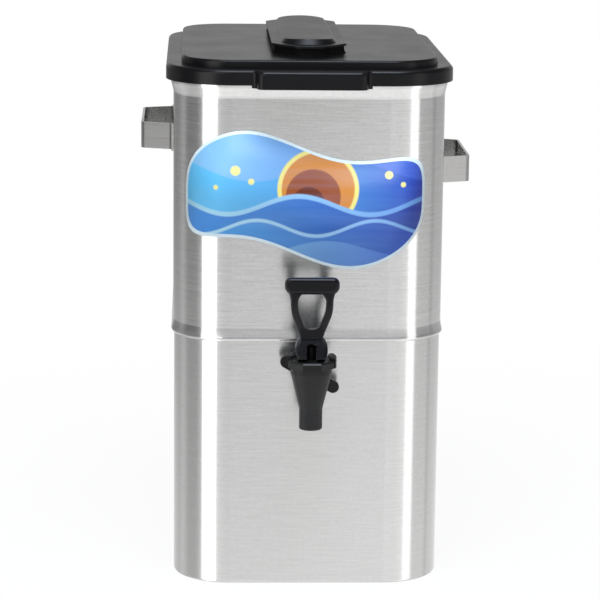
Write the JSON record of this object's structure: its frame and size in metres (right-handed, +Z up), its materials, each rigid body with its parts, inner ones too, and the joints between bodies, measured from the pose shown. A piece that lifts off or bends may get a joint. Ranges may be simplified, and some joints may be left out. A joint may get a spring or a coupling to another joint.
{
  "type": "iced tea dispenser",
  "caption": "Narrow stainless iced tea dispenser: open skirt base, tank with strap handles, black lid with hinged brew-through cover, and a self-closing loop-handle faucet.",
  "frame": {"origin": "on the counter, at the middle of the skirt's foot", "axes": "+Z up, faucet towards -Y, +X to the right seen from the front"},
  "size_m": [0.282, 0.3919, 0.4544],
  "materials": {
    "shell_steel": "fine horizontal brushing",
    "skirt_steel": "fine horizontal brushing",
    "pan_steel": "drawn, dull",
    "strap_steel": "brushed along the strap",
    "fitting_steel": "turned",
    "pin_steel": "turned",
    "spring_steel": "drawn wire",
    "decal_print": "printed vinyl",
    "seal_rubber": "translucent white silicone",
    "faucet_plastic": "moulded, slightly textured",
    "handle_plastic": "moulded, satin",
    "lid_plastic": "moulded, satin",
    "insert_plastic": "moulded, semi-gloss",
    "cover_plastic": "moulded, satin"
  },
  "bodies": {
    "dispenser": {"tank_shell": "shell_steel", "base_skirt": "skirt_steel", "tank_pan": "pan_steel", "left_handle": "strap_steel", "right_handle": "strap_steel", "front_decal": "decal_print", "tank_nipple": "fitting_steel", "nipple_seal": "seal_rubber", "jam_nut": "fitting_steel", "coupling_gasket": "seal_rubber", "wing_nut": "faucet_plastic", "faucet_body": "faucet_plastic", "faucet_bonnet": "faucet_plastic", "stem_spring": "spring_steel"},
    "stem": {"faucet_stem": "faucet_plastic", "seat_cup": "seal_rubber", "handle_pin": "pin_steel"},
    "handle": {"faucet_handle": "handle_plastic"},
    "lid": {"lid": "lid_plastic", "brew_insert": "insert_plastic", "cover_pin": "pin_steel"},
    "cover": {"brew_cover": "cover_plastic"}
  },
  "joints": [
    {"name": "stem_lift", "type": "slide", "parent": "dispenser", "child": "stem", "axis": [0, 0, 1], "range_m": [0, 0.00406], "deforming": ["stem_spring"]},
    {"name": "handle_tilt", "type": "hinge", "parent": "stem", "child": "handle", "pos_m": [0, -0.205, 0.212], "axis": [1, 0, 0], "range_deg": [0, 35], "stiffness_Nm_per_rad": 0.09, "springref_deg": -25.78},
    {"name": "lid_lift", "type": "slide", "parent": "dispenser", "child": "lid", "axis": [0, 0, 1], "range_m": [0, 0.1]},
    {"name": "cover_hinge", "type": "hinge", "parent": "lid", "child": "cover", "pos_m": [0, 0.1321, 0.4466], "axis": [-1, 0, 0], "range_deg": [0, 105]}
  ],
  "couplings": [
    {"joint": "handle_tilt", "follows": "stem_lift", "rad_per_m": 150.15}
  ]
}
